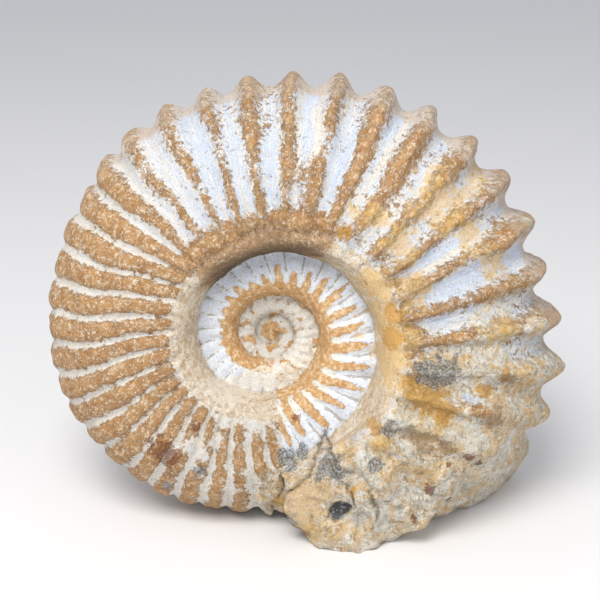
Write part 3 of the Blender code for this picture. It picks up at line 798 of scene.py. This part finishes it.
# Crumbly edges of the masks: scale, spread and softness, and what is added to some masks first
crumbNoise = (6.0, 0.72, 0.0)     # detail, roughness and distortion
lifted = {"halo": 0.20, "flecks": 0.03}
crumbling = {
    "halo": (620.0, 2.4, 0.24), "flecks": (820.0, 2.4, 0.07), "rind": (430.0, 2.9, 0.06),
    "bands": (700.0, 1.6, 0.20), "lines": (900.0, 1.2, 0.10), "orange": (560.0, 2.0, 0.08),
    "fill": (500.0, 0.55, 0.12), "tips": (380.0, 1.2, 0.20), "under": (330.0, 1.9, 0.12),
    "rocky": (130.0, 1.5, 0.10), "yellow": (200.0, 2.4, 0.22), "ochre": (360.0, 3.0, 0.12),
    "white": (420.0, 3.0, 0.16), "brown": (420.0, 3.4, 0.12), "facet": (260.0, 0.7, 0.12),
    "crystal": (360.0, 2.8, 0.16), "rust": (900.0, 3.4, 0.12),
}

# Two colours mixed by a noise between two of its values, then coats of colour: noise, from, to, strength
mixes = {
    "rind": ("rind", 0.36, 0.64, "rindDark", "rindLight",
             (("crumbs", 0.52, 0.62, 0.80, "cream"), ("specks", 0.55, 0.66, 0.85, "creamLight"),
              ("pits", 0.56, 0.66, 0.60, "brownAndShade"))),
    "orange": ("orange", 0.44, 0.66, "orange", "orangeLight", (("fineFibres", 0.52, 0.66, 0.60, "rindDark"),)),
    "fill": ("crumbs", 0.38, 0.62, "creamLight", "fill",
             (("specks", 0.50, 0.66, 0.42, "rindLight"), ("woundFibres", 0.50, 0.60, 0.40, "rindLight"),
              ("woundFibres", 0.44, 0.36, 0.40, "creamLight"))),
    "rock": ("rock", 0.45, 0.54, "rockGrey", "rockWhite",
             (("ochre", 0.47, 0.53, 0.85, "rockOchre"), ("brown", 0.53, 0.59, 0.75, "rockBrown"),
              ("crumbs", 0.53, 0.60, 0.85, "creamLight"), ("pits", 0.60, 0.66, 0.42, "dirtAndShade"))),
    "yellow": ("crumbs", 0.42, 0.62, "yellow", "yellowLight", ()),
    "facet": ("fine", 0.48, 0.70, "facet", "creamLight", ()),
}

# Colours are linear
stoneLook = {
    "chalkBlue": (0.57, 0.65, 0.78),
    "chalkWarm": (0.72, 0.69, 0.62),
    "chalkGrey": (0.68, 0.73, 0.82),
    "cream": (0.76, 0.64, 0.47),
    "creamLight": (0.83, 0.77, 0.66),
    "streak": (0.30, 0.29, 0.27),
    "rindDark": (0.36, 0.19, 0.075),
    "rindLight": (0.52, 0.30, 0.13),
    "orange": (0.54, 0.30, 0.12),
    "orangeLight": (0.80, 0.62, 0.40),
    "yellow": (0.70, 0.43, 0.13),
    "yellowLight": (0.74, 0.58, 0.32),
    "ochre": (0.60, 0.33, 0.085),
    "fill": (0.56, 0.46, 0.32),
    # dark brown of the rind's pits, also the painted shade on the top wall under the shoulder
    "brownAndShade": (0.22, 0.125, 0.055),
    # painted shadow at the seam under the top shoulder
    "underShadowEdge": (0.085, 0.062, 0.040),
    "tips": (0.62, 0.47, 0.33),
    "rust": (0.19, 0.062, 0.022),
    "brown": (0.34, 0.22, 0.12),
    "facet": (0.76, 0.55, 0.32),
    "crystalDark": (0.13, 0.135, 0.14),
    "crystalLight": (0.50, 0.51, 0.52),
    "pocket": (0.060, 0.075, 0.115),
    "glint": (0.52, 0.57, 0.66),
    # dirt of pits, veins and cracks, also painted shade in hollows
    "dirtAndShade": (0.16, 0.12, 0.08),
    "rockGrey": (0.66, 0.61, 0.51),
    "rockBrown": (0.47, 0.31, 0.15),
    "rockWhite": (0.84, 0.83, 0.80),
    "rockOchre": (0.76, 0.50, 0.20),
    "innerPaleAndLit": (1.15, 1.17, 1.19),     # the older whorls are paler, partly painted light that lifts the shade of the hollow middle
    "rockGain": (1.14, 1.13, 1.08),
    "grainShade": {"From Min": 0.30, "From Max": 0.66, "To Min": 0.74, "To Max": 1.10},
    "crystalScale": 1500.0,
    "roughness": 0.88, "crystalRoughness": 0.34, "specular": 0.3,
    "bumpStrength": 0.85, "bumpDistance": 0.0008,
    "relief": {"grain": 0.08, "rind": 0.55, "flecks": 0.18, "pits": -0.45, "fine": 0.25, "fibres": 0.35,
               "fineFibres": 0.30, "specks": 0.25, "orange": 0.30, "crumbs": 0.35, "rock": 2.6,
               "darkVeins": -0.8, "crystals": -0.8},
}


def stoneMaterial():
    look = stoneLook
    material, tree, shader = newMaterial("weathered_shell")
    ribSpace = addNode(tree, "ShaderNodeAttribute", attribute_name="ribSpace").outputs["Vector"]
    spaces = {"place": addNode(tree, "ShaderNodeTexCoord").outputs["Object"]}
    for name, stretch in stretches.items():
        stretched = addNode(tree, "ShaderNodeVectorMath", {0: ribSpace, 1: stretch}, operation="MULTIPLY")
        spaces[name] = stretched.outputs[0]
    made = {name: noiseAt(tree, spaces[space], *values) for name, (space, *values) in noises.items()}
    masks = {name: attribute(tree, name) for name in (
        "blue", "chalk", "inner", "rind", "bands", "lines", "orange", "fill", "tips", "under", "seamShadow", "rocky",
        "yellow", "ochre", "white", "brown", "facet", "crystal", "pocket", "rust", "hollow", "crack")}

    def times(a, b):
        return math2(tree, "MULTIPLY", a, b)

    def ramp(name, low, high):
        return rampTo(tree, made[name], low, high)

    def over(mask, strength, under, top):
        return mixColour(tree, times(mask, strength), under, look[top] if isinstance(top, str) else top)

    def crumbled(name, mask=None):
        moved, (scale, spread, softness) = masks[mask or name], crumbling[name]
        if name in lifted:
            moved = math2(tree, "ADD", moved, lifted[name])
        return addNode(tree, "ShaderNodeGroup", {
            "Mask": moved, "Vector": spaces["place"], "Scale": scale, "Spread": spread,
            "Softness": softness}, node_tree=bpy.data.node_groups["ragged_edge"]).outputs["Edge"]

    def mixed(name):
        noiseName, low, high, first, second, coats = mixes[name]
        found = mixColour(tree, ramp(noiseName, low, high), look[first], look[second])
        for coat, start, end, strength, top in coats:
            found = over(ramp(coat, start, end), strength, found, top)
        return found

    def veins(name):     # thin lines where a noise passes its middle
        around = math2(tree, "SUBTRACT", made[name], 0.5)
        return rampTo(tree, math2(tree, "ABSOLUTE", around, 0.0), veinWidths[name], 0.0)

    # chalk with grey and white fibres along the grooves
    colour = mixColour(tree, times(masks["blue"], ramp("streaks", 0.64, 0.48)), look["chalkWarm"], look["chalkBlue"])
    paler = times(masks["blue"], math2(tree, "SUBTRACT", 1.0, masks["chalk"]))
    colour = over(paler, 1.5, colour, "chalkGrey")
    colour = over(times(ramp("fibres", 0.54, 0.66), masks["chalk"]), 0.46, colour, "streak")
    colour = over(times(ramp("fineFibres", 0.54, 0.70), masks["chalk"]), 0.34, colour, "rockBrown")
    colour = over(ramp("whiteFibres", 0.50, 0.62), 0.55, colour, "rockWhite")
    colour = over(ramp("fine", 0.50, 0.68), 0.28, colour, "cream")
    plain = math2(tree, "SUBTRACT", 1.0, math2(tree, "MAXIMUM", masks["chalk"], masks["inner"]))
    colour = over(times(ramp("crumbs", 0.42, 0.58), plain), 0.60, colour, "cream")

    # brown rind on the ribs, with a cream halo where it has crumbled
    flecks, rindEdge, rindColour = crumbled("flecks", "rind"), crumbled("rind"), mixed("rind")
    colour = over(crumbled("halo", "rind"), 0.56, colour, "creamLight")
    colour = over(flecks, 0.75, colour, "rindLight")
    colour = mixColour(tree, rindEdge, colour, rindColour)

    # orange of the inner whorls, and thin dark lines in their grooves
    orangeEdge = crumbled("orange")
    colour = over(crumbled("bands"), 0.55, colour, "rockWhite")
    colour = over(crumbled("lines"), 0.62, colour, "streak")
    colour = mixColour(tree, orangeEdge, colour, mixed("orange"))

    # matrix left against the wall, brown rind with painted shade under the top shoulder, and a painted shadow at its
    # seam
    colour = mixColour(tree, crumbled("fill"), colour, mixed("fill"))
    colour = over(crumbled("tips"), 0.60, colour, "tips")
    # brown rind for the top wall under the shoulder, darkened as painted shade
    rindAndShadeColour = over(ramp("under", 0.48, 0.58), 0.75, rindColour, "brownAndShade")
    colour = over(crumbled("under"), 0.88, colour, rindAndShadeColour)
    # painted shadow along the seam under the top shoulder
    colour = over(masks["seamShadow"], 0.90, colour, "underShadowEdge")

    # rock of the broken end
    darkVeins = veins("darkVeins")
    rockColour = over(veins("whiteVeins"), 0.65, mixed("rock"), "rockWhite")
    rockColour = over(darkVeins, 0.48, rockColour, "dirtAndShade")
    colour = over(crumbled("rocky"), 0.94, colour, rockColour)

    # stains and bare places
    colour = over(crumbled("yellow"), 0.74, colour, mixed("yellow"))
    for name, strength, top in (("ochre", 0.78, "ochre"), ("white", 0.72, "creamLight"), ("brown", 0.66, "brown")):
        colour = over(crumbled(name), strength, colour, top)
    colour = over(crumbled("facet"), 0.90, colour, mixed("facet"))

    # grey druse, rust, dirt, and painted shade in hollows
    cells = addNode(tree, "ShaderNodeTexVoronoi", {"Vector": spaces["place"], "Scale": look["crystalScale"]})
    cellDistance, crystalEdge = cells.outputs["Distance"], crumbled("crystal")
    druse = mixColour(tree, rampTo(tree, cellDistance, 0.20, 0.75), look["crystalLight"], look["crystalDark"])
    colour = over(crystalEdge, 0.78, colour, druse)
    glint = addNode(tree, "ShaderNodeSeparateColor", {"Color": cells.outputs["Color"]})
    pocketColour = mixColour(tree, rampTo(tree, glint.outputs["Red"], 0.62, 0.95), look["pocket"], look["glint"])
    colour = over(masks["pocket"], 0.85, colour, pocketColour)
    colour = over(crumbled("rust"), 0.78, colour, "rust")
    # painted shade: darker in hollows
    colour = over(rampTo(tree, masks["hollow"], 0.58, 1.0), 0.36, colour, "dirtAndShade")
    colour = over(masks["crack"], 0.62, colour, "dirtAndShade")

    # grain and how pale each part is, with painted light on the inner whorls
    shade = addNode(tree, "ShaderNodeMapRange", {"Value": made["grain"], **look["grainShade"]}).outputs["Result"]
    grainColour = addNode(tree, "ShaderNodeCombineColor", {"Red": shade, "Green": shade, "Blue": shade})
    colour = mixColour(tree, 1.0, colour, grainColour.outputs[0], "MULTIPLY")
    # partly painted light: the inner whorls are brightened against the shade of the hollow middle
    colour = mixColour(tree, masks["inner"], colour, look["innerPaleAndLit"], "MULTIPLY")
    colour = mixColour(tree, masks["rocky"], colour, look["rockGain"], "MULTIPLY")
    tree.links.new(colour, shader.inputs["Base Color"])

    gloss = mixColour(tree, crystalEdge, (look["roughness"],) * 3, (look["crystalRoughness"],) * 3)
    tree.links.new(gloss, shader.inputs["Roughness"])
    shader.inputs["Specular IOR Level"].default_value = look["specular"]

    # fine relief
    heights = {"rind": rindEdge, "flecks": flecks, "orange": orangeEdge, "rock": times(made["rock"], masks["rocky"]),
               "darkVeins": times(darkVeins, masks["rocky"]), "crystals": times(cellDistance, crystalEdge)}
    height = 0.0
    for name, amount in look["relief"].items():
        height = math2(tree, "ADD", height, times(heights.get(name, made.get(name)), amount))
    bump = addNode(tree, "ShaderNodeBump", {
        "Height": height, "Strength": look["bumpStrength"], "Distance": look["bumpDistance"]})
    tree.links.new(bump.outputs["Normal"], shader.inputs["Normal"])
    return material


# Floor, lights and camera
studio = {
    "floorSize": 6.0, "floorColour": (0.80, 0.80, 0.81), "floorRoughness": 0.7,
    "skyColour": (0.93, 0.95, 1.0), "skyStrength": 0.60,
    "keyAt": (-0.16, -0.48, 0.74), "keyPower": 7.0, "keySize": 0.42, "keyColour": (1.0, 0.97, 0.93),
    "fillAt": (0.60, -0.55, 0.35), "fillPower": 0.9, "fillSize": 0.7,
    "aim": (-0.002, 0.0, 0.0670), "elevation": 20.0, "distance": 0.44, "lens": 85.0, "sensor": 36.0,
}


def makeFloor():
    half = studio["floorSize"] / 2.0
    floor = bpy.data.objects.new("floor", meshFrom("floor", [
        (-half, -half, 0), (half, -half, 0), (half, half, 0), (-half, half, 0)], [(0, 1, 2, 3)]))
    bpy.context.scene.collection.objects.link(floor)
    material, _, shader = newMaterial("pale_floor")
    shader.inputs["Base Color"].default_value = (*studio["floorColour"], 1.0)
    shader.inputs["Roughness"].default_value = studio["floorRoughness"]
    floor.data.materials.append(material)


def makeLight(name, at, power, size, colour=(1.0, 1.0, 1.0)):
    data = bpy.data.lights.new(name, "AREA")
    data.energy, data.size, data.color = power, size, colour
    lamp = bpy.data.objects.new(name, data)
    bpy.context.scene.collection.objects.link(lamp)
    lamp.location = at
    lamp.rotation_euler = (Vector(studio["aim"]) - lamp.location).to_track_quat("-Z", "Y").to_euler()


def makeCamera():
    data = bpy.data.cameras.new("camera")
    data.lens, data.sensor_width = studio["lens"], studio["sensor"]
    camera = bpy.data.objects.new("camera", data)
    bpy.context.scene.collection.objects.link(camera)
    tilt = math.radians(studio["elevation"])
    back = Vector((0.0, -math.cos(tilt), math.sin(tilt)))
    camera.location = Vector(studio["aim"]) + back * studio["distance"]
    camera.rotation_euler = (-back).to_track_quat("-Z", "Y").to_euler()
    bpy.context.scene.camera = camera


makeCamera()
makeFloor()
makeLight("key", studio["keyAt"], studio["keyPower"], studio["keySize"], studio["keyColour"])
makeLight("fill", studio["fillAt"], studio["fillPower"], studio["fillSize"])
world = bpy.data.worlds.new("sky")
bpy.context.scene.world = world
world.use_nodes = True
world.node_tree.nodes["Background"].inputs["Color"].default_value = (*studio["skyColour"], 1.0)
world.node_tree.nodes["Background"].inputs["Strength"].default_value = studio["skyStrength"]
bpy.context.scene.view_settings.view_transform = "Standard"
print("studio ready")

makeRaggedEdge()
stone = makeStone()
stone.data.materials.append(stoneMaterial())
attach(stone, "root")
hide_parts("ammonite")
print("stone dressed")
